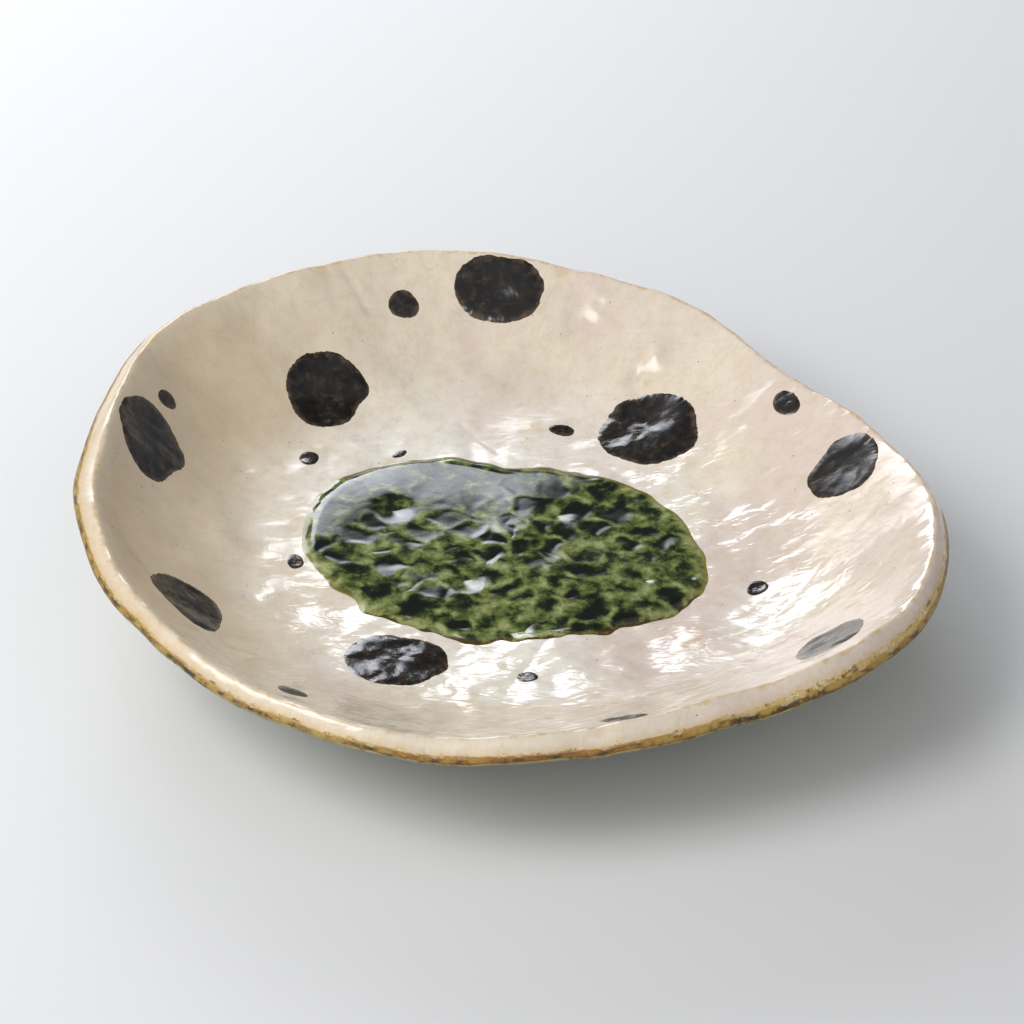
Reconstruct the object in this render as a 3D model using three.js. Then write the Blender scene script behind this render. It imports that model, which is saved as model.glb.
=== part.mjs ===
// A hand-built stoneware plate with a green glass pool in its well, in millimetres, with +Z up.
// The clay slab stands on a ring foot and carries a cream glaze inside and over the cut rim, a green
// glaze underneath, and thick spots of iron pigment. The origin is on the table under the plate's
// middle, +X runs to the right-hand corner and +Y to the back.

import * as THREE from "three";
import { mergeVertices } from "three/addons/utils/BufferGeometryUtils.js";

const { Vector2, Vector3 } = THREE;

// Slab and foot
const slabThickness = 9; // clay under the middle of the well
const wellDish = 1.5; // depth of the middle of the well below its edge
const wallRun = 62; // level distance from the edge of the well out to the rim
const footHeight = 9; // table to the underside of the slab
const footWidth = 8; // resting face of the foot, across the ring
const footFlare = 2; // extra width each side where the foot joins the slab
const footRadius = 52; // pole to the middle of the resting face
const footChamfer = 1.2; // worn corners of the resting face
const rimRound = 0.9; // radius of the two corners of the cut rim

// Glaze coats
const seat = 0.3; // clearance between a coat and what carries it
const spotSeat = 0.4; // clearance under a spot, which spans the glaze's facets
const creamThickness = 0.8;
const underThickness = 0.8;
const bareEdge = 0.5; // clay left bare on the cut face below the cream glaze
const bareTurn = 35; // degrees of the lower corner left bare above the green glaze
const poolThickness = 1.9;
const poolEdge = 1; // thickness of the pool at its rounded edge
const poolGap = 0.4; // clearance between the pool and the cream glaze round it
const lumpHeight = 0.12; // swell of the pool's lumps above and below its mean surface

// Iron spots
const largeSpotRise = 0.9;
const smallSpotRise = 0.7;

// The rim was cut and pulled by hand, so it is set out at equal bearings, anticlockwise from +X.
// reach: from the pole of the plate out to the inner corner of the cut rim
// height: of that corner above the table
// lean: slope of the wall at the rim, in degrees from level
// lip: thickness of the cut edge
// pool: reach of the green glass
const stations = [
  { reach: 138, height: 50, lean: 28, lip: 7.5, pool: 66 }, // right
  { reach: 129, height: 47, lean: 27, lip: 7.5, pool: 62 },
  { reach: 122, height: 44.5, lean: 27, lip: 7.5, pool: 58 }, // the side pressed nearly straight
  { reach: 123, height: 44, lean: 28, lip: 7.5, pool: 54 },
  { reach: 130, height: 46, lean: 30, lip: 7.5, pool: 51 },
  { reach: 133, height: 48, lean: 32, lip: 7, pool: 50 },
  { reach: 139, height: 50.5, lean: 32, lip: 7, pool: 48 }, // back
  { reach: 144, height: 52.5, lean: 34, lip: 7, pool: 54 },
  { reach: 144, height: 54, lean: 36, lip: 7, pool: 62 },
  { reach: 147, height: 55.5, lean: 40, lip: 7, pool: 70 },
  { reach: 147, height: 56.5, lean: 47, lip: 7, pool: 74 }, // back left corner
  { reach: 140, height: 57, lean: 54, lip: 7, pool: 74 },
  { reach: 139, height: 57, lean: 60, lip: 7.5, pool: 73 }, // the steep left wall
  { reach: 140, height: 55.5, lean: 56, lip: 7, pool: 67 },
  { reach: 140, height: 53.5, lean: 49, lip: 6.5, pool: 62 },
  { reach: 140, height: 51, lean: 42, lip: 6.5, pool: 59 },
  { reach: 139, height: 49, lean: 36, lip: 6.5, pool: 56 },
  { reach: 140, height: 48, lean: 33, lip: 6.5, pool: 57 },
  { reach: 138, height: 48, lean: 34, lip: 7, pool: 54 }, // front
  { reach: 137, height: 49.5, lean: 37, lip: 8, pool: 55 },
  { reach: 138, height: 51, lean: 40, lip: 9, pool: 56 },
  { reach: 146, height: 52.5, lean: 39, lip: 9, pool: 62 },
  { reach: 150, height: 53.5, lean: 35, lip: 8.5, pool: 70 }, // front right corner
  { reach: 146, height: 52.5, lean: 31, lip: 8, pool: 72 },
];

// Prints of the maker's fingers and the soft hollows of the beaten slab, measured from the pole.
const dents = [
  { x: 34, y: 112, radius: 9, depth: 2 },
  { x: 52, y: 84, radius: 10, depth: 1.6 },
  { x: -78, y: 8, radius: 22, depth: 1.2 },
  { x: -30, y: -84, radius: 26, depth: 1 },
  { x: 92, y: -30, radius: 24, depth: 1.2 },
];

// Large iron spots brushed on the glaze: each outline seen from above, anticlockwise, as [x, y] from the
// pole.
const largeSpots = [
  {
    name: "iron_spot_back",
    outline: [
      [13, 128], [10, 134], [5, 137], [-3, 138], [-12, 138], [-18, 135],
      [-21, 129], [-18, 122], [-9, 118], [-1, 116], [9, 119],
    ],
  },
  {
    name: "iron_spot_back_left",
    outline: [
      [-51, 86], [-54, 93], [-61, 98], [-71, 97], [-79, 89],
      [-80, 79], [-74, 70], [-64, 69], [-57, 73], [-55, 81],
    ],
  },
  {
    name: "iron_spot_left",
    outline: [
      [-113, 29], [-116, 37], [-120, 42], [-125, 46], [-131, 43], [-134, 36],
      [-134, 26], [-131, 17], [-127, 10], [-122, 10], [-117, 18],
    ],
  },
  {
    name: "iron_spot_front_left",
    outline: [
      [-96, -46], [-99, -41], [-107, -38], [-114, -37], [-119, -42],
      [-117, -50], [-113, -56], [-107, -62], [-100, -68], [-96, -64], [-95, -55],
    ],
  },
  {
    name: "iron_spot_front",
    outline: [
      [-20, -64], [-21, -58], [-25, -54], [-31, -52], [-38, -50], [-46, -51], [-52, -56],
      [-54, -63], [-52, -71], [-46, -76], [-38, -78], [-29, -76], [-23, -71],
    ],
  },
  {
    name: "iron_spot_back_right",
    outline: [
      [67, 63], [66, 71], [61, 77], [53, 81], [45, 81], [38, 77], [33, 70],
      [32, 63], [35, 55], [41, 50], [49, 46], [59, 48], [66, 53],
    ],
  },
  {
    name: "iron_spot_right",
    outline: [
      [127, 21], [124, 28], [119, 32], [113, 32], [108, 27],
      [103, 20], [106, 13], [113, 7], [121, 6], [126, 13],
    ],
  },
  {
    name: "iron_spot_front_right",
    outline: [
      [115, -74], [112, -68], [106, -68], [100, -67], [96, -71],
      [93, -80], [93, -89], [98, -93], [104, -91], [110, -87], [113, -81],
    ],
  },
  {
    name: "iron_spot_front_rim",
    outline: [
      [44, -124], [38, -119], [31, -120],
      [28, -125], [32, -129], [39, -129],
    ],
  },
];

// Small iron dots: where the middle lies, the size along the rim and out towards it, and the phase of
// the uneven outline.
const smallSpots = [
  { name: "iron_dot_back", x: -39, y: 121, along: 12, out: 9, shape: 1 },
  { name: "iron_dot_left", x: -120.5, y: 52.5, along: 8, out: 5, shape: 2 },
  { name: "iron_dot_back_left", x: -71, y: 50, along: 8, out: 7, shape: 3 },
  { name: "iron_dot_behind_pool", x: 19, y: 68, along: 9, out: 6, shape: 4 },
  { name: "iron_dot_back_right", x: 98, y: 56, along: 12, out: 8, shape: 5 },
  { name: "iron_dot_right", x: 84, y: -24, along: 8, out: 7, shape: 6 },
  { name: "iron_dot_front", x: 6, y: -73, along: 7, out: 6, shape: 7 },
  { name: "iron_dot_beside_pool", x: -73, y: -9.5, along: 9, out: 5, shape: 8 },
  { name: "iron_dot_front_left", x: -69, y: -101, along: 10, out: 8, shape: 9 },
  { name: "iron_dot_pool_edge", x: -39, y: 55.5, along: 6, out: 3, shape: 10 },
];

// Facets: how many round the plate and round a spot, and where the rings lie from 0 to 1 on a curve.
const plateFacets = 72;
const footFacets = 48;
const largeSpotFacets = 20;
const smallSpotFacets = 12;
const poolRings = [0, 0.3, 0.6, 0.85];
const wallRings = [0, 0.2, 0.4, 0.58, 0.76, 0.92];
const underRings = [0.93, 0.76, 0.58, 0.4, 0.2];
const cornerTurns = [0, 45, 90];
const glassRings = [0, 0.1, 0.2, 0.3, 0.4, 0.5, 0.6, 0.7, 0.79, 0.87, 0.94];
const curveHandle = 0.36; // length of a wall curve's handles, as a share of its chord

const floorHeight = footHeight + slabThickness;
const creamTop = seat + creamThickness;
const level = new Vector2(1, 0);
const radians = THREE.MathUtils.degToRad;

// The stations' value at any bearing, on a smooth closed curve through them all.
function around(measure, bearing) {
  const count = stations.length;
  const turn = THREE.MathUtils.euclideanModulo((bearing * count) / 360, count);
  const first = Math.floor(turn);
  const t = turn - first;
  const [a, b, c, d] = [-1, 0, 1, 2].map((k) => stations[(first + k + count) % count][measure]);
  return b + 0.5 * t * (c - a + t * (2 * a - 5 * b + 4 * c - d + t * (3 * (b - c) + d - a)));
}

// A curve that leaves one point in one direction and arrives at another in another.
function sweep(from, leaving, to, arriving) {
  const handle = curveHandle * from.distanceTo(to);
  return new THREE.CubicBezierCurve(
    from,
    from.clone().addScaledVector(leaving, handle),
    to.clone().addScaledVector(arriving, -handle),
    to,
  );
}

// One upright cut through the slab at a bearing: its curves hold [distance from the pole, height].
function cutAt(bearing) {
  const lean = radians(around("lean", bearing));
  const along = new Vector2(Math.cos(lean), Math.sin(lean));
  const through = new Vector2(along.y, -along.x);
  const crest = new Vector2(around("reach", bearing), around("height", bearing));
  const lip = around("lip", bearing);
  const heel = crest.clone().addScaledVector(through, lip);
  const wellEdge = new Vector2(crest.x - wallRun, floorHeight + wellDish);
  const dishSlope = new Vector2(wellEdge.x, 2 * wellDish).normalize();
  const underEdge = new Vector2(wellEdge.x, footHeight);
  return {
    bearing,
    along,
    through,
    crest,
    heel,
    lip,
    wellEdge,
    underEdge,
    pool: around("pool", bearing),
    wall: sweep(wellEdge, dishSlope, crest, along),
    underside: sweep(underEdge, level, heel, along),
  };
}

// How far the inside face lies above its smooth curve at a distance out: the dents lower it.
function relief(bearing, out) {
  const x = out * Math.cos(radians(bearing));
  const y = out * Math.sin(radians(bearing));
  return -dents.reduce(
    (sum, dent) => sum + dent.depth * Math.exp(-(((x - dent.x) ** 2 + (y - dent.y) ** 2) / dent.radius ** 2)),
    0,
  );
}

// A point of the well's floor at a distance out, raised by a lift.
function floorPoint(cut, out, lift) {
  const dish = wellDish * (out / cut.wellEdge.x) ** 2;
  return new Vector2(out, floorHeight + dish + relief(cut.bearing, out) + lift);
}

// A point of the wall, from the edge of the well at 0 to the rim at 1, raised square to the wall.
function wallPoint(cut, t, lift) {
  const point = cut.wall.getPoint(t);
  const slope = cut.wall.getTangent(t);
  const rise = relief(cut.bearing, point.x) + lift;
  return point.addScaledVector(new Vector2(-slope.y, slope.x), rise);
}

// A point of the underside, from the edge of the level part at 0 to the rim at 1, lowered by a lift.
function underPoint(cut, t, lift) {
  const slope = cut.underside.getTangent(t);
  return cut.underside.getPoint(t).addScaledVector(new Vector2(slope.y, -slope.x), lift);
}

// A point on the upper corner of the cut rim: a turn of 0 faces inwards and up, 90 up the wall.
function crestPoint(cut, turn, lift) {
  const angle = radians(turn);
  return cut.crest
    .clone()
    .addScaledVector(cut.along, -rimRound + (rimRound + lift) * Math.sin(angle))
    .addScaledVector(cut.through, rimRound - (rimRound + lift) * Math.cos(angle));
}

// A point on the lower corner of the cut rim: a turn of 0 faces up the wall, 90 outwards and down.
function heelPoint(cut, turn, lift) {
  const angle = radians(turn);
  return cut.heel
    .clone()
    .addScaledVector(cut.along, -rimRound + (rimRound + lift) * Math.cos(angle))
    .addScaledVector(cut.through, -rimRound + (rimRound + lift) * Math.sin(angle));
}

// A point on the cut face where the cream glaze ends, above the bare lower corner.
function creamEnd(cut, lift) {
  return cut.heel
    .clone()
    .addScaledVector(cut.along, lift)
    .addScaledVector(cut.through, -rimRound - bareEdge);
}

// A closed solid over rows of points: each row runs round one section, and the rows run round the
// solid. Where the rows share their first and last points, those are its poles. Every facet is split
// from its inner corner to the next row's outer one, so that faces laid over each other are parallel.
function loft(rows) {
  const length = rows[0].length;
  const isPole = (k) => rows[0][k].distanceTo(rows[1][k]) < 1e-6;
  const index = [];
  rows.forEach((row, i) => {
    const here = i * length;
    const next = ((i + 1) % rows.length) * length;
    row.forEach((point, k) => {
      const following = (k + 1) % length;
      const outwards = Math.hypot(row[following].x, row[following].y) > Math.hypot(point.x, point.y);
      if (isPole(k) && isPole(following)) return;
      if (isPole(k)) index.push(here + k, here + following, next + following);
      else if (isPole(following)) index.push(here + k, here + following, next + k);
      else if (outwards) {
        index.push(here + k, here + following, next + following);
        index.push(here + k, next + following, next + k);
      } else {
        index.push(here + k, here + following, next + k);
        index.push(next + k, here + following, next + following);
      }
    });
  });
  const geometry = new THREE.BufferGeometry().setFromPoints(rows.flat()).setIndex(index);
  const welded = mergeVertices(geometry, 1e-4);
  welded.computeVertexNormals();
  return welded;
}

// A solid whose section, a list of [distance from the pole, height], changes with the bearing.
function turned(sectionAt, facets) {
  const rows = Array.from({ length: facets }, (_, i) => {
    const bearing = (360 * i) / facets;
    const angle = radians(bearing);
    return sectionAt(cutAt(bearing)).map((p) => new Vector3(p.x * Math.cos(angle), p.x * Math.sin(angle), p.y));
  });
  return loft(rows);
}

// The clay: up over the well and wall, round the cut rim, and back beneath to the pole.
function slabSection(cut) {
  const halfway = (cut.pool + cut.wellEdge.x) / 2;
  return [
    ...[...poolRings, 1].map((share) => floorPoint(cut, share * cut.pool, 0)),
    floorPoint(cut, halfway, 0),
    ...wallRings.map((t) => wallPoint(cut, t, 0)),
    ...cornerTurns.map((turn) => crestPoint(cut, turn, 0)),
    ...cornerTurns.map((turn) => heelPoint(cut, turn, 0)),
    ...underRings.map((t) => underPoint(cut, t, 0)),
    cut.underEdge,
    new Vector2(cut.underEdge.x / 2, footHeight),
    new Vector2(0, footHeight),
  ];
}

// The coil luted under the slab, worn at the corners of its resting face.
function footSection() {
  const middle = footRadius;
  const half = footWidth / 2;
  return [
    new Vector2(middle - half - footFlare, footHeight),
    new Vector2(middle + half + footFlare, footHeight),
    new Vector2(middle + half, footChamfer),
    new Vector2(middle + half - footChamfer, 0),
    new Vector2(middle - half + footChamfer, 0),
    new Vector2(middle - half, footChamfer),
  ];
}

// The cream glaze: from the edge of the pool out over the rim and part of the way down its cut face.
function creamSection(cut) {
  const start = cut.pool + poolGap;
  const halfway = (cut.pool + cut.wellEdge.x) / 2;
  const face = (lift) => [
    floorPoint(cut, start, lift),
    floorPoint(cut, halfway, lift),
    ...wallRings.map((t) => wallPoint(cut, t, lift)),
    ...cornerTurns.map((turn) => crestPoint(cut, turn, lift)),
    creamEnd(cut, lift),
  ];
  return [...face(creamTop), ...face(seat).reverse()];
}

// The green glaze under the rim, up to where the underside becomes level.
function underSection(cut) {
  const face = (lift) => [
    heelPoint(cut, bareTurn, lift),
    heelPoint(cut, 90, lift),
    ...[...underRings, 0].map((t) => underPoint(cut, t, lift)),
  ];
  return [...face(seat + underThickness), ...face(seat).reverse()];
}

// Lumps in the glass where it ran over the beaten slab: three trains of low waves that cross.
function lumps(x, y) {
  const waves = [
    { facing: 25, length: 19 },
    { facing: 85, length: 16 },
    { facing: 150, length: 22 },
  ];
  return waves.reduce((sum, wave) => {
    const along = x * Math.cos(radians(wave.facing)) + y * Math.sin(radians(wave.facing));
    return sum + (lumpHeight / waves.length) * Math.sin((2 * Math.PI * along) / wave.length);
  }, 0);
}

// The pool of green glass, thick in the middle and drawn down to a rounded edge.
function poolSection(cut) {
  const angle = radians(cut.bearing);
  const top = glassRings.map((share) => {
    const out = share * cut.pool;
    const full = 1 - share ** 6;
    const swell = lumps(out * Math.cos(angle), out * Math.sin(angle)) * full;
    return floorPoint(cut, out, seat + poolEdge + (poolThickness - poolEdge) * full + swell);
  });
  return [
    ...top,
    floorPoint(cut, cut.pool, seat + poolEdge / 2),
    ...[...poolRings].reverse().map((share) => floorPoint(cut, share * cut.pool, seat)),
  ];
}

// A small spot's outline: an oval with an uneven edge, turned to lie along the rim.
function dotOutline(dot) {
  const bearing = Math.atan2(dot.y, dot.x);
  return Array.from({ length: smallSpotFacets }, (_, i) => {
    const angle = (2 * Math.PI * i) / smallSpotFacets;
    const uneven = 1 + 0.06 * Math.sin(2 * angle + dot.shape) + 0.05 * Math.sin(3 * angle + 2.3 * dot.shape);
    const offset = new Vector2((dot.out / 2) * Math.cos(angle), (dot.along / 2) * Math.sin(angle));
    return offset.multiplyScalar(uneven).rotateAround(new Vector2(), bearing).add(dot);
  });
}

// A large spot's outline: a smooth closed curve through its points.
function spotOutline(spot) {
  const corners = spot.outline.map(([x, y]) => new Vector3(x, y, 0));
  return new THREE.CatmullRomCurve3(corners, true).getSpacedPoints(largeSpotFacets).slice(1);
}

// An iron spot: a low pad that follows the glaze it lies on, thin at the edge.
function spotGeometry(outline, rise, glaze) {
  const ray = new THREE.Raycaster();
  const onGlaze = (place, lift) => {
    ray.set(new Vector3(place.x, place.y, 2 * stations[0].height), new Vector3(0, 0, -1));
    const [hit] = ray.intersectObject(glaze);
    return hit.point.addScaledVector(hit.normal, lift);
  };
  const middle = outline.reduce((sum, p) => sum.addScaledVector(p, 1 / outline.length), new Vector3());
  const profile = [
    [0, rise],
    [0.5, rise],
    [0.85, 0.8 * rise],
    [1, 0.4 * rise],
    [0.97, 0],
    [0.5, 0],
    [0, 0],
  ];
  return loft(
    outline.map((edge) =>
      profile.map(([share, height]) =>
        onGlaze(new Vector3(edge.x, edge.y, 0).sub(middle).multiplyScalar(share).add(middle), spotSeat + height),
      ),
    ),
  );
}

const clay = new THREE.MeshStandardMaterial({ color: 0xa8825c, roughness: 0.85 });
const cream = new THREE.MeshStandardMaterial({ color: 0xdfd3c2, roughness: 0.15 });
const copperGreen = new THREE.MeshStandardMaterial({ color: 0x3f5a22, roughness: 0.08 });
const thinGreen = new THREE.MeshStandardMaterial({ color: 0x8a9170, roughness: 0.2 });
const iron = new THREE.MeshStandardMaterial({ color: 0x2a2421, roughness: 0.3 });

const plate = new THREE.Group();

function add(name, geometry, material) {
  const mesh = new THREE.Mesh(geometry, material);
  mesh.name = name;
  plate.add(mesh);
  return mesh;
}

add("stoneware_slab", turned(slabSection, plateFacets), clay);
add("foot_ring", turned(footSection, footFacets), clay);
const creamGlaze = add("cream_glaze", turned(creamSection, plateFacets), cream);
add("underside_glaze", turned(underSection, plateFacets), thinGreen);
add("green_glass_pool", turned(poolSection, plateFacets), copperGreen);
for (const spot of largeSpots) {
  add(spot.name, spotGeometry(spotOutline(spot), largeSpotRise, creamGlaze), iron);
}
for (const dot of smallSpots) {
  add(dot.name, spotGeometry(dotOutline(dot), smallSpotRise, creamGlaze), iron);
}

// The plate's bounding box stands centred on the origin.
const middle = new THREE.Box3().setFromObject(plate).getCenter(new Vector3());
plate.position.set(-middle.x, -middle.y, 0);

export default plate;
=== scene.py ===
# A hand-built stoneware serving plate in cream, green and iron glazes, on a pale floor. The finish is
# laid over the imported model. Sizes are in millimetres, turned to metres with mm. The plate stands at
# z = 0, +X runs to its right-hand corner and +Y to its back.

import math

import bmesh
import bpy
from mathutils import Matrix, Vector, noise
from mathutils.bvhtree import BVHTree
from mathutils.kdtree import KDTree


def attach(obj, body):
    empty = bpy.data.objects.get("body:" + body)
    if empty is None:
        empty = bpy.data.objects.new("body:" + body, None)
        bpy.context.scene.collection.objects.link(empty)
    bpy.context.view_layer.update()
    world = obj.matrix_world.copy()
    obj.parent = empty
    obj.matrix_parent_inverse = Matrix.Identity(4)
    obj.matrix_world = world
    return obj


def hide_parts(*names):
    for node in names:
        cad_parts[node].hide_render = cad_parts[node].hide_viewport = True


mm = 0.001

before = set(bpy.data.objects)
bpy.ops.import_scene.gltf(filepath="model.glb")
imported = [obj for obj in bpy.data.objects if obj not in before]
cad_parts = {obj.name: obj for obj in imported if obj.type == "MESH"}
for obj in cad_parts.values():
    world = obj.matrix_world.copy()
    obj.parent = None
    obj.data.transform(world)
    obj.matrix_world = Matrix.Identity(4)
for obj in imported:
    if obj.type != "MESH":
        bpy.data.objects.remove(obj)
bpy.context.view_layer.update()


# Material nodes

def toLinear(hexText):
    channels = [int(hexText[i : i + 2], 16) / 255 for i in (0, 2, 4)]
    return [c / 12.92 if c <= 0.04045 else ((c + 0.055) / 1.055) ** 2.4 for c in channels] + [1]


def addNode(tree, kind, inputs, output=0, stops=(), **settings):
    # one node: its settings, its colour stops, its sockets set or linked; gives back an output
    node = tree.nodes.new("ShaderNode" + kind)
    for name, value in settings.items():
        setattr(node, name, value)
    for i, (position, tone) in enumerate(stops):
        if i > 1:
            node.color_ramp.elements.new(position)
        node.color_ramp.elements[i].position = position
        node.color_ramp.elements[i].color = toLinear(tone)
    fill(tree, node, inputs)
    return node.outputs[output]


def fill(tree, node, inputs):
    for name, value in inputs.items():
        if isinstance(value, bpy.types.NodeSocket):
            tree.links.new(value, node.inputs[name])
        else:
            node.inputs[name].default_value = toLinear(value) if isinstance(value, str) else value


def newMaterial(name):
    material = bpy.data.materials.new(name)
    material.use_nodes = True
    tree = material.node_tree
    return material, tree, tree.nodes["Principled BSDF"], addNode(tree, "TexCoord", {}, "Object")


def perMetre(size):
    return 1 / (size * mm)


# Glazed surfaces. In a Mix node for colours, socket 0 is the share, 6 the colour under and 7 the one
# over it, and output 2 is the result.

def between(value, low, high, top=1.0, bottom=0.0):
    # the sockets of a Map Range node that climbs from bottom at low to top at high
    return {"Value": value, "From Min": low, "From Max": high, "To Min": bottom, "To Max": top}


def creamMaterial():
    # Feldspar glaze fired thick over clay: milky and glassy, palest where it pooled on the floor, with
    # painted shade that turns it tan on the left, rosy in drifts, with a few iron specks, fine crackle and
    # ochre where it thins.
    material, tree, shader, place = newMaterial("creamFeldsparGlaze")
    look = {"wall": "ddd1bc", "floor": "eae6dd", "rosy": "d6c5ba", "toast": "c8b08d", "stain": "c9a877"}
    look |= {"cloud": "c5b08f", "speck": "6b4423", "crackle": "b09c80", "worn": "c6a772"}
    drift = addNode(tree, "TexNoise", {"Vector": place, "Scale": perMetre(45), "Detail": 4})
    axes = addNode(tree, "SeparateXYZ", {"Vector": place}, "X").node.outputs
    low = addNode(tree, "Math", {0: drift, 1: -14 * mm, 2: axes["Z"]}, operation="MULTIPLY_ADD")
    thick = addNode(tree, "MapRange", between(low, 20 * mm, 10 * mm))
    body = addNode(tree, "Mix", {0: thick, 6: look["wall"], 7: look["floor"]}, 2, data_type="RGBA")
    # painted shade: the cream turns tan towards the left, where its walls lie in shade, less so near the top
    # of the rim
    leftward = addNode(tree, "Math", {0: drift, 1: 0.12, 2: axes["X"]}, operation="MULTIPLY_ADD")
    crest = addNode(tree, "Attribute", {}, "Fac", attribute_name="crest")
    inwards = addNode(tree, "MapRange", between(crest, 2, 10, 0.75, 0.35))
    toast = addNode(tree, "MapRange", between(leftward, 10 * mm, -75 * mm))
    leftShading = addNode(tree, "Math", {0: toast, 1: inwards}, operation="MULTIPLY")
    warm = addNode(tree, "Mix", {0: leftShading, 6: body, 7: look["toast"]}, 2, data_type="RGBA")
    bloom = {"Vector": place, "Scale": perMetre(38), "Detail": 2, "W": 4}
    rosy = addNode(tree, "TexNoise", bloom, noise_dimensions="4D")
    rightward = addNode(tree, "Math", {0: axes["X"], 1: 1.6, 2: rosy}, operation="MULTIPLY_ADD")
    blushing = addNode(tree, "MapRange", between(rightward, 0.5, 0.7, 0.8))
    blush = addNode(tree, "Mix", {0: blushing, 6: warm, 7: look["rosy"]}, 2, data_type="RGBA")
    stain = addNode(tree, "Attribute", {}, "Fac", attribute_name="stain")
    patch = addNode(tree, "TexNoise", {"Vector": place, "Scale": perMetre(9), "Detail": 6, "Roughness": 0.7})
    spread = addNode(tree, "Math", {0: stain, 1: 0.5, 2: patch}, operation="MULTIPLY_ADD")
    tan = addNode(tree, "MapRange", between(spread, 0.7, 0.9, 0.4))
    stained = addNode(tree, "Mix", {0: tan, 6: blush, 7: look["stain"]}, 2, data_type="RGBA")
    cloud = {"Vector": place, "Scale": perMetre(5), "Detail": 8, "Roughness": 0.78, "W": 2}
    clouds = addNode(tree, "TexNoise", cloud, noise_dimensions="4D")
    clouded = addNode(tree, "MapRange", between(clouds, 0.45, 0.72, 0.62))
    cloudy = addNode(tree, "Mix", {0: clouded, 6: stained, 7: look["cloud"]}, 2, data_type="RGBA")

    # crackle runs down the walls: the pattern is laid round the plate and drawn out towards the rim
    flat = addNode(tree, "VectorMath", {0: place, 1: (1, 1, 0)}, operation="MULTIPLY")
    heading = addNode(tree, "VectorMath", {0: flat}, operation="NORMALIZE")
    rimCircle = addNode(tree, "VectorMath", {0: heading, "Scale": 130 * mm}, operation="SCALE")
    out = addNode(tree, "VectorMath", {0: flat}, "Value", operation="LENGTH")
    drawnOut = addNode(tree, "Math", {0: out, 1: 0.3}, operation="MULTIPLY")
    upright = addNode(tree, "CombineXYZ", {"Z": drawnOut})
    wall = addNode(tree, "VectorMath", {0: rimCircle, 1: upright}, operation="ADD")
    net = {"Vector": wall, "Scale": perMetre(5)}
    cracks = addNode(tree, "TexVoronoi", net, feature="DISTANCE_TO_EDGE")
    hairline = addNode(tree, "MapRange", between(cracks, 0.03, 0))
    upTheWall = addNode(tree, "MapRange", between(low, 12 * mm, 24 * mm, 0.16))
    crackling = addNode(tree, "Math", {0: hairline, 1: upTheWall}, operation="MULTIPLY")
    crackled = addNode(tree, "Mix", {0: crackling, 6: cloudy, 7: look["crackle"]}, 2, data_type="RGBA")

    # iron specks: only some of the cells hold one
    cells = addNode(tree, "TexVoronoi", {"Vector": place, "Scale": perMetre(3)})
    some = addNode(tree, "TexNoise", {"Vector": place, "Scale": perMetre(7), "Detail": 3})
    dot = addNode(tree, "MapRange", between(cells, 0.11, 0.07))
    chosen = addNode(tree, "MapRange", between(some, 0.56, 0.6, 0.8))
    dots = addNode(tree, "Math", {0: dot, 1: chosen}, operation="MULTIPLY")
    specked = addNode(tree, "Mix", {0: dots, 6: crackled, 7: look["speck"]}, 2, data_type="RGBA")

    # edge is the distance in millimetres from the glaze's lower edge on the cut rim: thin and ochre
    # there, with burnt flecks, and mottled green and ochre further up at the right front
    edge = addNode(tree, "Attribute", {}, "Fac", attribute_name="edge")
    fray = {"Vector": place, "Scale": perMetre(3.5), "Detail": 6, "Roughness": 0.7}
    grain = addNode(tree, "TexNoise", fray)
    facing = addNode(tree, "VectorMath", {0: heading, 1: (0.82, -0.57, 0)}, "Value", operation="DOT_PRODUCT")
    higher = addNode(tree, "MapRange", between(facing, 0.8, 0.97, -2.6))
    height = addNode(tree, "Math", {0: edge, 1: 1.4, 2: higher}, operation="MULTIPLY_ADD")
    ragged = addNode(tree, "Math", {0: grain, 1: 6, 2: height}, operation="MULTIPLY_ADD")
    fading = addNode(tree, "MapRange", between(ragged, 7.2, 4, 0.55))
    thin = addNode(tree, "MapRange", between(ragged, 4.2, 3.5, 0.95))
    burnt = {"Vector": place, "Scale": perMetre(4), "Detail": 6, "Roughness": 0.6, "W": 7}
    burning = addNode(tree, "TexNoise", burnt, noise_dimensions="4D")
    ochres = [(0.33, "38260f"), (0.4, "8a662b"), (0.46, "cdb377"), (0.53, "bd9a4c"), (0.59, "dccaa0")]
    ochres += [(0.66, "86803c"), (0.74, "565a29")]
    ochre = addNode(tree, "ValToRGB", {"Fac": burning}, stops=ochres)
    rubbed = addNode(tree, "Math", {0: grain, 1: 9, 2: crest}, operation="MULTIPLY_ADD")
    bare = addNode(tree, "MapRange", between(rubbed, 5.2, 3.9, 0.75))
    worn = addNode(tree, "Mix", {0: bare, 6: specked, 7: look["worn"]}, 2, data_type="RGBA")
    faded = addNode(tree, "Mix", {0: fading, 6: worn, 7: look["stain"]}, 2, data_type="RGBA")
    base = addNode(tree, "Mix", {0: thin, 6: faded, 7: ochre}, 2, data_type="RGBA")

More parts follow.
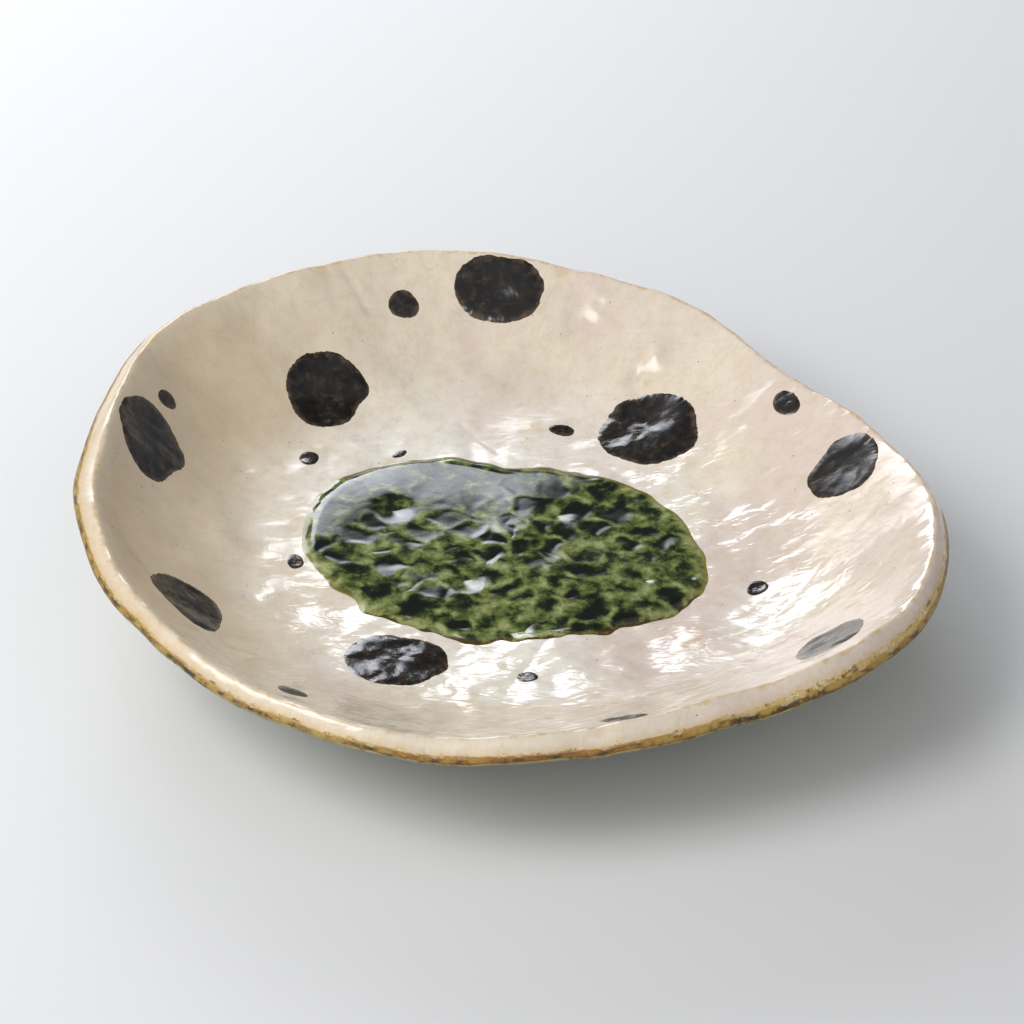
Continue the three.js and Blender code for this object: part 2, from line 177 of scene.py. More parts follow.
    # strokes of the brush on the floor and the right, in two sizes, and combed lines low on the left
    zone = addNode(tree, "VectorMath", {0: place, 1: (1, -1.3, 0)}, "Value", operation="DOT_PRODUCT")
    across = addNode(tree, "MapRange", between(zone, -70 * mm, 40 * mm, 1.0, 0.35))
    lower = addNode(tree, "MapRange", between(axes["Z"], 36 * mm, 20 * mm, 1.0, 0.4))
    strength = addNode(tree, "Math", {0: across, 1: lower}, operation="MULTIPLY")
    swirl = addNode(tree, "Mapping", {"Vector": place, "Rotation": (0, 0, -0.54), "Scale": (0.45, 1, 1)})
    strokes = {"Vector": swirl, "Scale": perMetre(4.5), "Detail": 1.5, "Distortion": 0.9}
    bristles = {"Vector": swirl, "Scale": perMetre(2), "Detail": 1, "Distortion": 0.6}
    smallCircle = addNode(tree, "VectorMath", {0: heading, "Scale": 12 * mm}, operation="SCALE")
    rings = addNode(tree, "CombineXYZ", {"Z": out})
    combing = addNode(tree, "VectorMath", {0: smallCircle, 1: rings}, operation="ADD")
    combs = addNode(tree, "TexNoise", {"Vector": combing, "Scale": perMetre(2.2), "Detail": 2})
    behind = addNode(tree, "VectorMath", {0: heading, 1: (-0.8, -0.6, 0)}, "Value", operation="DOT_PRODUCT")
    combed = addNode(tree, "MapRange", between(behind, 0.5, 0.9, 0.4))
    broad = addNode(tree, "TexNoise", strokes)
    ripple = addNode(tree, "Bump", {"Height": broad, "Distance": 0.5 * mm, "Strength": strength})
    thinner = addNode(tree, "TexNoise", bristles)
    finer = {"Height": thinner, "Distance": 0.12 * mm, "Strength": strength, "Normal": ripple}
    hair = addNode(tree, "Bump", finer)
    comb = addNode(tree, "Bump", {"Height": combs, "Distance": 0.2 * mm, "Strength": combed, "Normal": hair})
    pinholes = addNode(tree, "Bump", {"Height": dots, "Distance": 0.15 * mm, "Normal": comb}, invert=True)
    rough = addNode(tree, "MapRange", between(zone, 0, -100 * mm, 0.2, 0.09))
    fill(tree, shader, {"Base Color": base, "Roughness": rough, "Normal": pinholes, "IOR": 1.52})
    return material


def clayMaterial():
    # Coarse stoneware clay, cut with a wire and toasted in the kiln: matt and gritty, ochre with burnt
    # brown flecks and moss green ones, scorched orange at the front and washed with cream at its top.
    material, tree, shader, place = newMaterial("toastedStoneware")
    stops = [(0.37, "2f1f0e"), (0.45, "654818"), (0.51, "96732d"), (0.6, "a88d48"), (0.7, "6e6d36")]
    mottle = addNode(tree, "TexNoise", {"Vector": place, "Scale": perMetre(6), "Detail": 6, "Roughness": 0.7})
    grit = addNode(tree, "TexNoise", {"Vector": place, "Scale": perMetre(0.9), "Detail": 3, "Roughness": 0.7})
    tone = addNode(tree, "ValToRGB", {"Fac": mottle}, stops=stops)
    flat = addNode(tree, "VectorMath", {0: place, 1: (1, 1, 0)}, operation="MULTIPLY")
    heading = addNode(tree, "VectorMath", {0: flat}, operation="NORMALIZE")
    facing = addNode(tree, "VectorMath", {0: heading, 1: (0.05, -1, 0)}, "Value", operation="DOT_PRODUCT")
    scorched = addNode(tree, "MapRange", between(facing, 0.93, 0.99, 0.6))
    scorches = [(0.36, "4a2c10"), (0.5, "8c5a20"), (0.66, "a9742c")]
    burnt = addNode(tree, "ValToRGB", {"Fac": mottle}, stops=scorches)
    fired = addNode(tree, "Mix", {0: scorched, 6: tone, 7: burnt}, 2, data_type="RGBA")
    # wash is 1 at the cream glaze, which runs thinly over the clay next to it
    wash = addNode(tree, "Attribute", {}, "Fac", attribute_name="wash")
    ragged = addNode(tree, "Math", {0: mottle, 1: -1.2, 2: wash}, operation="MULTIPLY_ADD")
    washed = addNode(tree, "MapRange", between(ragged, 0.1, 0.24, 0.8))
    base = addNode(tree, "Mix", {0: washed, 6: fired, 7: "c8b283"}, 2, data_type="RGBA")
    rough = addNode(tree, "Bump", {"Height": grit, "Distance": 0.15 * mm})
    lumpy = addNode(tree, "Bump", {"Height": mottle, "Distance": 0.4 * mm, "Normal": rough})
    fill(tree, shader, {"Base Color": base, "Roughness": 0.4, "Normal": lumpy})
    return material


def undersideMaterial():
    # Thin wood-ash glaze on the back: grey-green, breaking to tan on the ridges of the clay and to
    # ochre along the rim.
    material, tree, shader, place = newMaterial("thinAshGlaze")
    stops = [(0.3, "5e6440"), (0.48, "858a66"), (0.6, "989a76"), (0.75, "aa9f78")]
    edge = addNode(tree, "Attribute", {}, "Fac", attribute_name="edge")
    flow = addNode(tree, "TexNoise", {"Vector": place, "Scale": perMetre(16), "Detail": 5, "Distortion": 0.5})
    fine = addNode(tree, "TexNoise", {"Vector": place, "Scale": perMetre(1.5), "Detail": 3})
    grain = addNode(tree, "TexNoise", {"Vector": place, "Scale": perMetre(5), "Detail": 5, "Roughness": 0.7})
    tone = addNode(tree, "ValToRGB", {"Fac": flow}, stops=stops)
    ragged = addNode(tree, "Math", {0: grain, 1: 6, 2: edge}, operation="MULTIPLY_ADD")
    thin = addNode(tree, "MapRange", between(ragged, 4.9, 3.9, 0.9))
    ochres = [(0.4, "4a3818"), (0.5, "8c773b"), (0.62, "a08f50")]
    ochre = addNode(tree, "ValToRGB", {"Fac": grain}, stops=ochres)
    base = addNode(tree, "Mix", {0: thin, 6: tone, 7: ochre}, 2, data_type="RGBA")
    ripple = addNode(tree, "Bump", {"Height": flow, "Distance": 0.6 * mm})
    peel = addNode(tree, "Bump", {"Height": fine, "Distance": 0.06 * mm, "Normal": ripple})
    fill(tree, shader, {"Base Color": base, "Roughness": 0.22, "Normal": peel})
    return material


def glassMaterial():
    # Copper-green glass, pooled deep: mossy yellow-green in leafy clusters of fine bubbles, with painted
    # shade that makes its hollows nearly black and the walls between them lighter, ochre where it thins at
    # its edge and burnt brown in its front drips.
    material, tree, shader, place = newMaterial("copperGreenGlass")
    stops = [(0.38, "0f130c"), (0.46, "1d2615"), (0.52, "35411e"), (0.58, "535e2e"), (0.66, "757d49")]
    stops += [(0.76, "979d6a")]
    lump = addNode(tree, "Attribute", {}, "Fac", attribute_name="lump")
    edge = addNode(tree, "Attribute", {}, "Fac", attribute_name="edge")
    leaf = {"Vector": place, "Scale": perMetre(5.5), "Detail": 7, "Roughness": 0.62, "Distortion": 0.3}
    moss = addNode(tree, "TexNoise", leaf)
    shallow = addNode(tree, "MapRange", between(edge, 5, 0.8, -0.08, -0.18))
    # painted shade: the colour darkens in the hollows of the relief and lightens on the walls between them,
    # over the moss
    raised = addNode(tree, "Math", {0: lump, 1: 0.3, 2: moss}, operation="MULTIPLY_ADD")
    level = addNode(tree, "Math", {0: raised, 1: shallow}, operation="ADD")
    tone = addNode(tree, "ValToRGB", {"Fac": level}, stops=stops)
    thin = addNode(tree, "MapRange", between(edge, 2, 0.5, 0.8))
    shore = addNode(tree, "Mix", {0: thin, 6: tone, 7: "857c3c"}, 2, data_type="RGBA")
    toFront = addNode(tree, "VectorMath", {0: place, 1: (0.1, -1, 0)}, "Value", operation="DOT_PRODUCT")
    front = addNode(tree, "MapRange", between(toFront, 15 * mm, 38 * mm, -3.5))
    depth = addNode(tree, "Math", {0: edge, 1: front}, operation="ADD")
    ragged = addNode(tree, "Math", {0: moss, 1: 9, 2: depth}, operation="MULTIPLY_ADD")
    burning = addNode(tree, "MapRange", between(ragged, 2.6, 1.8, 0.85))
    base = addNode(tree, "Mix", {0: burning, 6: shore, 7: "3d2a0e"}, 2, data_type="RGBA")
    fine = addNode(tree, "TexNoise", {"Vector": place, "Scale": perMetre(2.5), "Detail": 1})
    skin = addNode(tree, "Bump", {"Height": fine, "Distance": 0.008 * mm})
    fill(tree, shader, {"Base Color": base, "Roughness": 0.03, "Normal": skin, "IOR": 1.55})
    return material


def ironMaterial():
    # Iron oxide brushed on thick: black-brown and glassy, drier in places, with the ridges of the brush
    # and rusty patches where it is thin.
    material, tree, shader, place = newMaterial("brushedIronPigment")
    stops = [(0.38, "080706"), (0.5, "171310"), (0.58, "29221c"), (0.65, "3e3329"), (0.74, "564333")]
    edge = addNode(tree, "Attribute", {}, "Fac", attribute_name="edge")
    grain = addNode(tree, "TexNoise", {"Vector": place, "Scale": perMetre(4), "Detail": 6, "Roughness": 0.7})
    outwards = addNode(tree, "MapRange", between(edge, 2.2, 0.2, 0.16))
    patch = addNode(tree, "Math", {0: grain, 1: outwards}, operation="ADD")
    bristles = {"Vector": place, "Scale": perMetre(2.4), "Detail": 2, "Distortion": 1.5}
    brush = addNode(tree, "TexNoise", bristles)
    tone = addNode(tree, "ValToRGB", {"Fac": patch}, stops=stops)
    ridges = addNode(tree, "Bump", {"Height": brush, "Distance": 0.07 * mm})
    rough = addNode(tree, "MapRange", between(patch, 0.42, 0.62, 0.06, 0.26))
    fill(tree, shader, {"Base Color": tone, "Roughness": rough, "Normal": ridges, "IOR": 1.5})
    return material


# Relief of the clay and the glazes, in millimetres

def swell(point, size, seed):
    return noise.noise(point / (size * mm) + Vector((seed, 2.3 * seed, 3.7 * seed)))


def climb(value, softness):
    # from 0 where the value is well below zero to 1 where it is well above
    return 1 / (1 + math.exp(-value / softness))


def eased(share):
    # a share from 0 to 1 with its two ends eased
    return share * share * (3 - 2 * share)


def near(spot, x, y, radius):
    # 1 at the middle of a round mark, fading over its radius
    return math.exp(-((spot - Vector((x, y))).length_squared) / radius**2)


beating = {
    "push": 1.6,
    "pushSize": 34,
    "lifts": [(1.5, 30, 3), (0.8, 13, 4), (0.2, 6, 7)],  # height, width and seed of each set of waves
    "fullFrom": 15,  # height above the table where the waves are full, so that the foot stands level
}


def beaten(point):
    # the slab was beaten out and pulled by hand: one smooth warp, which every coat shares
    flat = Vector((point.x, point.y, 0))
    size = beating["pushSize"]
    sideways = beating["push"] * Vector((swell(flat, size, 1), swell(flat, size, 2), 0))
    lift = sum(height * swell(flat, width, seed) for height, width, seed in beating["lifts"])
    return (sideways + Vector((0, 0, lift * min(point.z / (beating["fullFrom"] * mm), 1)))) * mm


creases = {
    "depth": 0.5,
    "halfWidth": 1.1,
    "lines": [
        [(-61, 127), (-51, 114)],
        [(105, -20), (94, -37), (87, -45), (75, -50), (59, -57)],
        [(13, -53), (4, -72), (-1, -81)],
        [(-17, 71), (-4, 56)],
    ],
}


def crease(point):
    spot = Vector((point.x, point.y)) / mm
    deepest = 0
    for line in creases["lines"]:
        for start, end in zip(line, line[1:]):
            start, end = Vector(start), Vector(end)
            share = min(max((spot - start).dot(end - start) / (end - start).length_squared, 0), 1)
            gap = (spot - start.lerp(end, share)).length / creases["halfWidth"]
            deepest = max(deepest, math.exp(-(gap**2)) if gap < 3 else 0)
    return -creases["depth"] * deepest


# dents in the glaze and small rises beside them: [x, y, radius, depth]
dents = [
    [25, 112, 4.5, 1.2], [33, 118, 4.5, -1.5], [46, 87, 3.5, 1.0], [53, 94, 4, -1.4], [65, 99, 2.5, -0.5],
    [82, 53, 2.4, 0.5], [91, 29, 3, 0.6], [-36, 96, 5, 0.4], [8, 100, 6, 0.4], [70, 20, 4, -0.4],
    [-92, 40, 6, 0.6], [-100, 0, 5, -0.5], [-88, -32, 5, 0.5], [40, -70, 5, -0.5], [104, 8, 4, 0.5],
]

# tan stains where the glaze lies thin: [x, y, radius]
stains = [[7, 68, 6], [-13, -90, 5], [60, -54, 6], [19, 131, 4], [-69, 123, 4], [-132, 67, 6], [50, 84, 2]]


def dent(point):
    spot = Vector((point.x, point.y)) / mm
    uneven = 1 + 0.9 * swell(point, 6, 41)  # no dent is a plain bowl
    return -uneven * sum(depth * near(spot, x, y, radius) for x, y, radius, depth in dents)


def stained(point):
    spot = Vector((point.x, point.y)) / mm
    return max(near(spot, x, y, radius) for x, y, radius in stains)


brushing = {
    "heading": 31,  # degrees from +X
    "along": 12,
    "across": 3.6,
    "height": 0.22,
    "broadAlong": 34,
    "broadAcross": 9,
    "broadHeight": 0.2,
    "least": 0.2,  # share of the ripples on the back wall
    "softness": 22,
}


def brushed(point):
    # ripples where the glaze was wiped on: strong on the floor and the right, faint on the back wall
    turn = math.radians(brushing["heading"])
    along = point.x * math.cos(turn) + point.y * math.sin(turn)
    across = point.y * math.cos(turn) - point.x * math.sin(turn)
    zone = (point.x - 1.3 * point.y) / mm
    strength = brushing["least"] + (1 - brushing["least"]) * climb(zone, brushing["softness"])
    fine = noise.noise(Vector((along / brushing["along"], across / brushing["across"], point.z / 30)) / mm)
    wide = Vector((along / brushing["broadAlong"], across / brushing["broadAcross"], 5 * mm))
    broad = noise.noise(wide / mm)
    return strength * (brushing["height"] * fine + brushing["broadHeight"] * broad)


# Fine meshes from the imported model

def fineMesh(node, levels):
    # the node's own mesh, closed and in four-sided faces, after Catmull-Clark subdivision
    work = bmesh.new()
    work.from_mesh(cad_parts[node].data)
    bmesh.ops.remove_doubles(work, verts=work.verts, dist=0.002 * mm)
    bmesh.ops.join_triangles(work, faces=work.faces, angle_face_threshold=3.1, angle_shape_threshold=3.1)
    mesh = bpy.data.meshes.new("work")
    work.to_mesh(mesh)
    work.free()
    holder = bpy.data.objects.new("work", mesh)
    bpy.context.scene.collection.objects.link(holder)
    rounded = holder.modifiers.new("rounded", "SUBSURF")
    rounded.levels = rounded.render_levels = levels
    bpy.context.view_layer.update()
    shape = holder.evaluated_get(bpy.context.evaluated_depsgraph_get()).to_mesh()
    fine = bmesh.new()
    fine.from_mesh(shape)
    bpy.data.objects.remove(holder)
    bpy.data.meshes.remove(mesh)
    fine.normal_update()
    return fine


def beat(work):
    for vertex in work.verts:
        vertex.co += beaten(vertex.co)
    work.normal_update()


def displace(work, height):
    moves = [(vertex, vertex.normal * height(vertex) * mm) for vertex in work.verts]
    for vertex, move in moves:
        vertex.co += move


def finishPiece(name, work, material, node):
    mesh = bpy.data.meshes.new(name)
    work.normal_update()
    work.to_mesh(mesh)
    work.free()
    mesh.shade_smooth()
    piece = bpy.data.objects.new(name, mesh)
    bpy.context.scene.collection.objects.link(piece)
    piece.data.materials.append(material)
    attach(piece, "root")
    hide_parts(node)
    return piece


ringSectors = 72


def ringTree(work, key):
    # points along the ring of the vertices that lead by the key round the plate, such as the highest
    best = {}
    for vertex in work.verts:
        sector = round(math.atan2(vertex.co.y, vertex.co.x) * ringSectors / math.tau) % ringSectors
        if sector not in best or key(vertex.co) > key(best[sector]):
            best[sector] = vertex.co.copy()
    ring = [best[sector] for sector in sorted(best)]
    steps = 16
    tree = KDTree(steps * len(ring))
    for i, (start, end) in enumerate(zip(ring, ring[1:] + ring[:1])):
        for j in range(steps):
            tree.insert(start.lerp(end, j / steps), steps * i + j)
    tree.balance()
    return tree


tongue = {"length": 5, "reach": 3}
crestWear = {"height": 0.5, "reach": 1.5, "size": 7}


def creamGlaze(material):
    work = fineMesh("cream_glaze", 2)
    upper = {edge for face in work.faces if face.normal.z > -0.1 for edge in face.edges}
    inner = [edge for edge in upper if all(face.normal.z > -0.1 for face in edge.link_faces)]
    bmesh.ops.subdivide_edges(work, edges=inner, cuts=1, use_grid_fill=True)
    # edge and crest are the distances, in millimetres, from the lower edge and from the top of the rim
    outerRing = ringTree(work, lambda point: point.xy.length)
    crestRing = ringTree(work, lambda point: point.z)
    innerRing = ringTree(work, lambda point: -point.xy.length)
    edge = work.verts.layers.float.new("edge")
    crest = work.verts.layers.float.new("crest")
    stain = work.verts.layers.float.new("stain")
    for vertex in work.verts:
        vertex[edge] = outerRing.find(vertex.co)[2] / mm
        vertex[crest] = crestRing.find(vertex.co)[2] / mm
        vertex[stain] = stained(vertex.co)
        # the coat runs on a little way under the pool
        inward = -tongue["length"] * math.exp(-innerRing.find(vertex.co)[2] / mm / tongue["reach"]) * mm
        vertex.co += inward * Vector((vertex.co.x, vertex.co.y, 0)).normalized()
    beat(work)

    def marks(vertex):
        if vertex.normal.z <= 0:
            return 0
        return crease(vertex.co) + dent(vertex.co) + brushed(vertex.co)

    def wear(vertex):
        share = math.exp(-vertex[crest] / crestWear["reach"])
        return crestWear["height"] * share * swell(vertex.co, crestWear["size"], 51)

    displace(work, marks)
    displace(work, wear)
    return finishPiece("creamGlaze", work, material, "cream_glaze")


def plainCoat(name, node, material, levels):
    work = fineMesh(node, levels)
    rim = ringTree(work, lambda point: point.xy.length)
    edge = work.verts.layers.float.new("edge")
    for vertex in work.verts:
        vertex[edge] = rim.find(vertex.co)[2] / mm
    beat(work)
    return finishPiece(name, work, material, node)


def onGlaze(glazes, x, y):
    # the highest place of the glazes straight below a point, and the normal there
    above = Vector((x, y, 0.1))
    hits = [glaze.ray_cast(above, Vector((0, 0, -1)))[:2] for glaze in glazes]
    return max((hit for hit in hits if hit[0]), key=lambda hit: hit[0].z, default=(None, None))


pool = {
    "level": 20.7,  # height of the glass above the table
    "dish": 0.00012,  # how far it curves up to its two ends, and down to its back and front
    "shore": 4.5,  # width of its edge, which dips to the cream glaze
    "cell": 11,  # from one hollow in the glass to the next
    "wallWidth": 0.6,  # of a wall between two hollows, as a share of a cell
    "wobble": 0.35,  # how far the cells stray from straight sides
    "lumps": 0.1,
    "waves": 0.25,
    "waveSize": 17,
    "swell": 0.5,
    "swellSize": 45,
    "smoothPart": 0.12,  # share of the relief that is left at the back left
    "smoothFrom": 22,  # from the pole to the line between the smooth part and the lumpy one
    "smoothTurn": 0.42,  # slope of that line
    "smoothFade": 7,
    "evenMoss": 0.65,  # share of the painted shade of the hollows that is left at the back left
    "overlap": 1.0,  # how far the edge runs out over the cream glaze
    "overlapFade": 3,  # how far in from the edge it is felt
    "scallop": 1.0,
    "scallopSize": 7,
    "frontScallop": 2.4,
    "frontFrom": 20,  # from the pole towards the front, where the drips begin
    "frontFade": 6,
    "film": 0.2,  # least thickness that the edge thins from
    "filmRise": 0.35,  # thickness gained for each millimetre in from the edge
    "filmSink": 0.1,  # how deep the edge is bedded in the cream glaze
    "filmWidth": 3.5,
    "underRise": 0.2,  # the same two for the underside of the edge
    "underSink": 0.2,
    "pits": [  # x, y, radius and depth of the holes left by bubbles
        [-40, 19, 4.5, 0.9], [16, 16, 4.5, 0.9], [-15, -21, 5, 0.9], [61, -19, 4.4, 0.9], [46, -22, 2, 0.6],
    ],
}


def cellWall(point):
    # 0 in the hollows of the glass, 1 on the walls between them
    place = Vector((point.x, point.y, 0)) / (pool["cell"] * mm)
    aside = Vector((noise.noise(1.7 * place), noise.noise(1.7 * place + Vector((9, 4, 2))), 0))
    first, second = noise.voronoi(place + pool["wobble"] * aside)[0][:2]
    return 1 - eased(min((second - first) / pool["wallWidth"], 1))


def greenPool(material, glaze):
    work = fineMesh("green_glass_pool", 3)
    lump = work.verts.layers.float.new("lump")
    edge = work.verts.layers.float.new("edge")
    rim = ringTree(work, lambda point: point.xy.length)
    tops = {vertex for vertex in work.verts if vertex.normal.z > 0.2}
    for vertex in work.verts:
        vertex[edge] = rim.find(vertex.co)[2] / mm
    beat(work)
    for vertex in work.verts:
        place = vertex.co / mm
        inside = eased(min(vertex[edge] / pool["shore"], 1))
        # the glass lies smooth at the back left and lumpy from there to the front and right
        before = pool["smoothFrom"] + pool["smoothTurn"] * place.x - place.y
        lumpy = pool["smoothPart"] + (1 - pool["smoothPart"]) * climb(before, pool["smoothFade"])
        wall = cellWall(vertex.co)
        # painted shade of the relief: darker in the hollows, lighter on the walls, less of it at the back
        # left
        vertex[lump] = (pool["evenMoss"] + (1 - pool["evenMoss"]) * lumpy) * wall
        if vertex in tops:
            dish = pool["dish"] * (place.x**2 - place.y**2)
            broad = pool["swell"] * swell(vertex.co, pool["swellSize"], 33)
            relief = pool["waves"] * swell(vertex.co, pool["waveSize"], 31) + pool["lumps"] * (wall - 0.5)
            pits = sum(depth * near(place.xy, x, y, radius) for x, y, radius, depth in pool["pits"])
            level = pool["level"] + dish + broad + lumpy * relief - pits
            vertex.co.z += inside * (level - place.z) * mm
        # the edge runs out over the cream glaze, most of all in drips at the front
        share = math.exp(-vertex[edge] / pool["overlapFade"])
        frontShare = climb(-place.y - pool["frontFrom"], pool["frontFade"])
        front = pool["scallop"] + pool["frontScallop"] * frontShare
        bearing = vertex.co.normalized() * 60 * mm
        step = pool["overlap"] + front * swell(bearing, pool["scallopSize"], 17)
        vertex.co += Vector((place.x, place.y, 0)).normalized() * step * share * mm
        under = onGlaze([glaze], vertex.co.x, vertex.co.y)[0]
        if under:
            # the glass thins out to a film over the cream glaze
            height = (vertex.co.z - under.z) / mm
            full = max(height, pool["film"])
            film = full * (1 - math.exp((pool["filmSink"] - pool["filmRise"] * vertex[edge]) / full))
            share = eased(min(vertex[edge] / pool["filmWidth"], 1))
            if vertex in tops:
                height = film + (full - film) * share
            else:
                height = min(height, pool["underRise"] * vertex[edge] - pool["underSink"])
            vertex.co.z = under.z + height * mm
    return finishPiece("greenGlassPool", work, material, "green_glass_pool")


spot = {
    "around": 180,
    "rings": 20,
    "rise": 0.5,
    "sink": 0.25,  # how deep its edge is bedded in the glaze
    "ragged": 0.03,
    "softTurns": (-0.12, -0.06, 0, 0.06, 0.12),  # bearings, in radians, that round the solid's corners
    "fullWidth": 9,  # reach from which a spot has its full rise
    "leastRelief": 0.3,
}


def spotOutline(node):
    # a spot's silhouette from above: its middle, and its corners as [angle, reach] in order round it
    work = bmesh.new()
    work.from_mesh(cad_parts[node].data)
    bmesh.ops.remove_doubles(work, verts=work.verts, dist=0.002 * mm)
    work.normal_update()
    turning = [edge for edge in work.edges if len({face.normal.z > 0 for face in edge.link_faces}) == 2]
    corners = {vertex for edge in turning for vertex in edge.verts}
    middle = sum((corner.co for corner in corners), Vector()) / len(corners)
    offsets = [corner.co - middle for corner in corners]
    work.free()
    return middle, sorted((math.atan2(offset.y, offset.x), offset.xy.length) for offset in offsets)


def reach(outline, angle):
    # from the middle of a spot to its outline at a bearing
    first = outline[0][0]
    angle = first + (angle - first) % math.tau
    closed = outline + [(first + math.tau, outline[0][1])]
    for (before, start), (after, end) in zip(closed, closed[1:]):
        if before <= angle <= after:
            return start + (end - start) * (angle - before) / max(after - before, 1e-6)
    return outline[0][1]


def ironSpot(node, glazes, material):
    # a disc of unit radius, laid on the fine glaze inside the outline of the node's solid
    middle, outline = spotOutline(node)
    work = bmesh.new()
    shares = [(i / spot["rings"]) ** 0.8 for i in range(spot["rings"] + 1)]
    chain = [work.verts.new((share, 0, 0)) for share in shares]
    spokes = [work.edges.new(pair) for pair in zip(chain, chain[1:])]
    turn = {"axis": (0, 0, 1), "angle": math.tau, "steps": spot["around"], "use_merge": True}
    bmesh.ops.spin(work, geom=chain + spokes, **turn)
    bmesh.ops.remove_doubles(work, verts=work.verts, dist=1e-5)
    bmesh.ops.recalc_face_normals(work, faces=work.faces)
    if sum(face.normal.z for face in work.faces) < 0:
        bmesh.ops.reverse_faces(work, faces=work.faces)
    rim = {vertex for edge in work.edges if edge.is_boundary for vertex in edge.verts}
    thin = work.verts.layers.float.new("edge")
    for vertex in work.verts:
        share, angle = vertex.co.xy.length, math.atan2(vertex.co.y, vertex.co.x)
        width = sum(reach(outline, angle + soft) for soft in spot["softTurns"]) / len(spot["softTurns"])
        vertex[thin] = (1 - share) * width / mm
        rag = Vector((math.cos(angle), math.sin(angle), 0)) * width + middle
        rags = 2 * swell(rag, 8, 5) + 0.8 * swell(rag, 3, 6) + 0.8 * swell(rag, 1.2, 7)
        width *= 1 + spot["ragged"] * rags
        x = middle.x + share * width * math.cos(angle)
        y = middle.y + share * width * math.sin(angle)
        hit, normal = onGlaze(glazes, x, y)
        if vertex in rim:
            lift = -spot["sink"]
        else:
            here, streak = Vector((x, y, 0)), Vector((0.5 * x, y, 0))
            full = spot["rise"] * min(width / (spot["fullWidth"] * mm), 1)
            relief = 1 + 0.8 * swell(streak, 6, 21) + 0.8 * swell(here, 9, 22) + 0.3 * swell(here, 3, 23)
            lift = full * max(relief, spot["leastRelief"]) * (1 - share**8)
        vertex.co = hit + normal * lift * mm
    words = node.split("_")
    name = words[0] + "".join(word.capitalize() for word in words[1:])
    return finishPiece(name, work, material, node)


bareCorner = {
    "flush": 1.1,  # how far the corner swells out
    "from": 0.15,  # gap to the nearest glaze where the swelling begins
    "to": 0.5,
    "reach": 4,
    "wash": 2.2,  # width of the thin wash below the cream glaze
}


def claySlab(material, coats):
    # the slab, with its bare corner swollen out to lie flush between the two glazes
    work = fineMesh("stoneware_slab", 2)
    corner = ringTree(work, lambda point: point.xy.length)
    wash = work.verts.layers.float.new("wash")
    beat(work)
    for vertex in work.verts:
        vertex[wash] = 1 - min(coats[0].find_nearest(vertex.co)[3] / mm / bareCorner["wash"], 1)

    def bare(vertex):
        if corner.find(vertex.co)[2] > bareCorner["reach"] * mm:
            return 0
        gap = min(coat.find_nearest(vertex.co)[3] for coat in coats) / mm
        share = (gap - bareCorner["from"]) / (bareCorner["to"] - bareCorner["from"])
        return bareCorner["flush"] * min(max(share, 0), 1)

    displace(work, bare)
    return finishPiece("stonewareSlab", work, material, "stoneware_slab")


clay = clayMaterial()
cream = creamGlaze(creamMaterial())
underside = plainCoat("undersideGlaze", "underside_glaze", undersideMaterial(), 2)
graph = bpy.context.evaluated_depsgraph_get()
surface = BVHTree.FromObject(cream, graph)
claySlab(clay, [surface, BVHTree.FromObject(underside, graph)])
plainCoat("footRing", "foot_ring", clay, 1)
print("slab, foot and coats made")
pooled = greenPool(glassMaterial(), surface)
glazes = [surface, BVHTree.FromObject(pooled, bpy.context.evaluated_depsgraph_get())]
pigment = ironMaterial()
for node in sorted(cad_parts):
    if node.startswith("iron_"):
        ironSpot(node, glazes, pigment)
print("pool and spots made")


# Floor, lights and camera

def paleFloor():
    # matt paper, painted a little darker towards the right as shade where the light falls off
    material, tree, shader, place = newMaterial("palePaper")
    slope = addNode(tree, "VectorMath", {0: place, 1: (1, -0.35, 0)}, "Value", operation="DOT_PRODUCT")
    across = addNode(tree, "MapRange", between(slope, -0.4, 0.5))
    tone = addNode(tree, "Mix", {0: across, 6: "ececed", 7: "cbcbca"}, 2, data_type="RGBA")
    fill(tree, shader, {"Base Color": tone, "Roughness": 0.9})
    work = bmesh.new()
    bmesh.ops.create_grid(work, size=6)
    mesh = bpy.data.meshes.new("floor")
    work.to_mesh(mesh)
    work.free()
    floor = bpy.data.objects.new("floor", mesh)
    floor.data.materials.append(material)
    bpy.context.scene.collection.objects.link(floor)


def softbox(name, light):
    lamp = bpy.data.lights.new(name, "AREA")
    lamp.shape = "RECTANGLE"
    lamp.size, lamp.size_y = light["size"]
    lamp.energy = light["watts"]
    lamp.color = toLinear(light["tone"])[:3]
    # the cloth of the box glows less towards its sides, its top and its foot
    lamp.use_nodes = True
    tree = lamp.node_tree
    place = addNode(tree, "NewGeometry", {}, "Parametric")
    axes = addNode(tree, "SeparateXYZ", {"Vector": place}, "X").node.outputs
    strength = 1.0
    for axis, start, full in light["fade"]:
        fading = between(axes[axis], start, full)
        glow = addNode(tree, "MapRange", fading, interpolation_type="SMOOTHSTEP")
        strength = addNode(tree, "Math", {0: strength, 1: glow}, operation="MULTIPLY")
    fill(tree, tree.nodes["Emission"], {"Strength": strength})
    holder = bpy.data.objects.new(name, lamp)
    holder.location = light["place"]
    aim = Vector(light["aim"]) - holder.location
    holder.rotation_euler = aim.to_track_quat("-Z", "Y").to_euler()
    bpy.context.scene.collection.objects.link(holder)


room = {"darkSide": (0.25, 0.66, 0.7), "darkFrom": 0.7, "darkTo": 0.93, "dark": 0.15, "pale": 0.55}
room |= {"paleSide": (-0.5, -0.85, 0.1), "extra": 0.7}


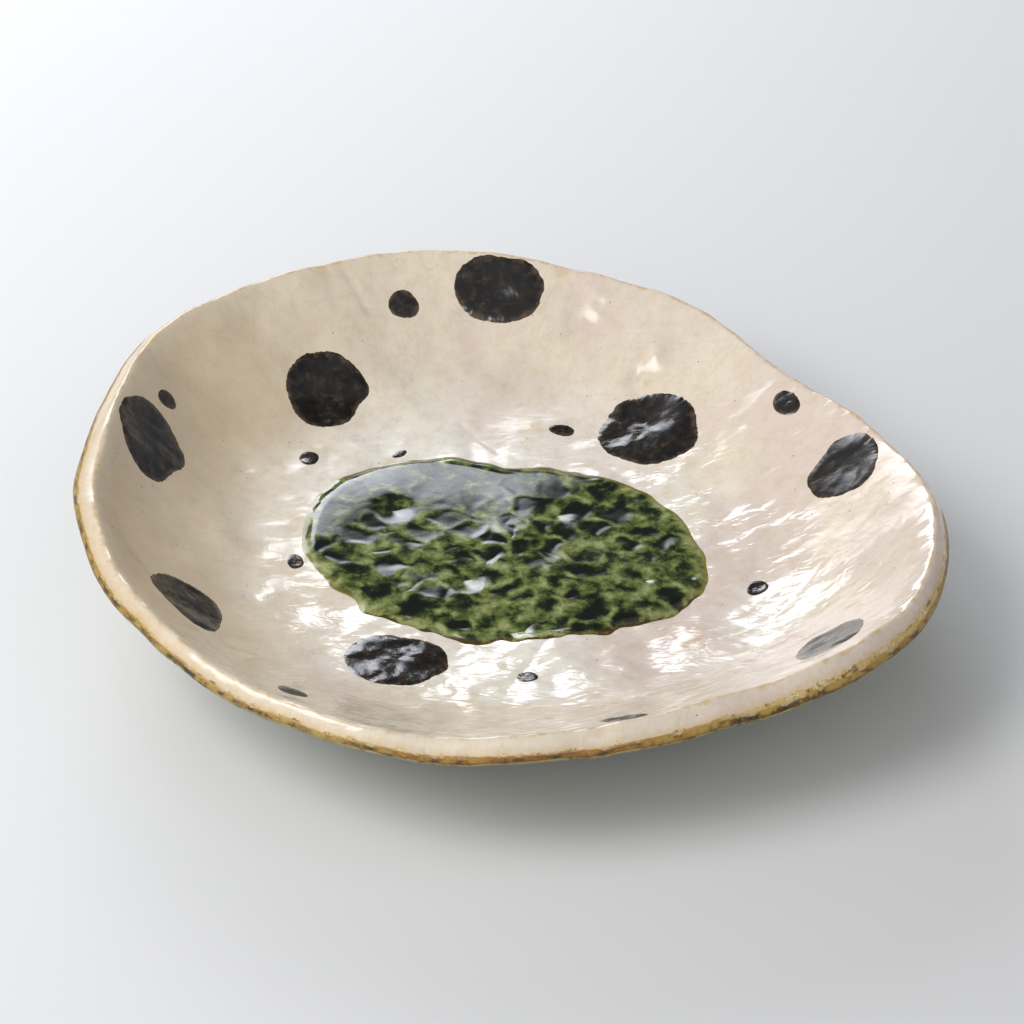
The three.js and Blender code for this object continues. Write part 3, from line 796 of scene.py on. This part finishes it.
def studioWorld():
    # a pale room, darker behind the plate on the right, so that the glass keeps its depth there
    world = bpy.data.worlds.new("studio")
    world.use_nodes = True
    tree = world.node_tree
    ray = addNode(tree, "TexCoord", {}, "Generated")
    toDark = Vector(room["darkSide"]).normalized()
    facing = addNode(tree, "VectorMath", {0: ray, 1: toDark}, "Value", operation="DOT_PRODUCT")
    dimming = between(facing, room["darkFrom"], room["darkTo"], room["dark"], room["pale"])
    glow = addNode(tree, "MapRange", dimming, interpolation_type="SMOOTHSTEP")
    toPale = Vector(room["paleSide"]).normalized()
    opening = addNode(tree, "VectorMath", {0: ray, 1: toPale}, "Value", operation="DOT_PRODUCT")
    more = addNode(tree, "MapRange", between(opening, 0.3, 1, room["extra"]), interpolation_type="SMOOTHSTEP")
    strength = addNode(tree, "Math", {0: glow, 1: more}, operation="ADD")
    fill(tree, tree.nodes["Background"], {"Color": "f3f4f7", "Strength": strength})
    bpy.context.scene.world = world


def photoCamera():
    shot = {"elevation": 36, "distance": 1200, "lens": 123, "target": (1.0, 4.8, 30)}
    tilt = math.radians(shot["elevation"])
    back = Vector((0, -math.cos(tilt), math.sin(tilt)))
    lens = bpy.data.cameras.new("camera")
    lens.sensor_width = 36
    lens.lens = shot["lens"]
    camera = bpy.data.objects.new("camera", lens)
    camera.location = (Vector(shot["target"]) + back * shot["distance"]) * mm
    camera.rotation_euler = (-back).to_track_quat("-Z", "Y").to_euler()
    bpy.context.scene.collection.objects.link(camera)
    bpy.context.scene.camera = camera


window = {"place": (-0.67, 1.16, 0.71), "aim": (0, 0, 0.03), "size": (1.66, 0.72)}
window |= {"watts": 28.5, "tone": "f3f6ff"}
window["fade"] = [("X", 0.0, 0.15), ("X", 0.8, 0.25), ("Y", 1.0, 0.8), ("Y", 0.0, 0.3)]
mainBox = {"place": (-1.0, -0.5, 1.3), "aim": (0, 0, 0.03), "size": (1.2, 1.2)}
mainBox |= {"watts": 32, "tone": "ffffff"}
mainBox["fade"] = [("X", 0.0, 0.3), ("X", 1.0, 0.7), ("Y", 0.0, 0.3), ("Y", 1.0, 0.7)]

paleFloor()
softbox("windowBox", window)
softbox("mainBox", mainBox)
studioWorld()
photoCamera()
bpy.context.scene.view_settings.view_transform = "Standard"
print("floor, lights and camera made")
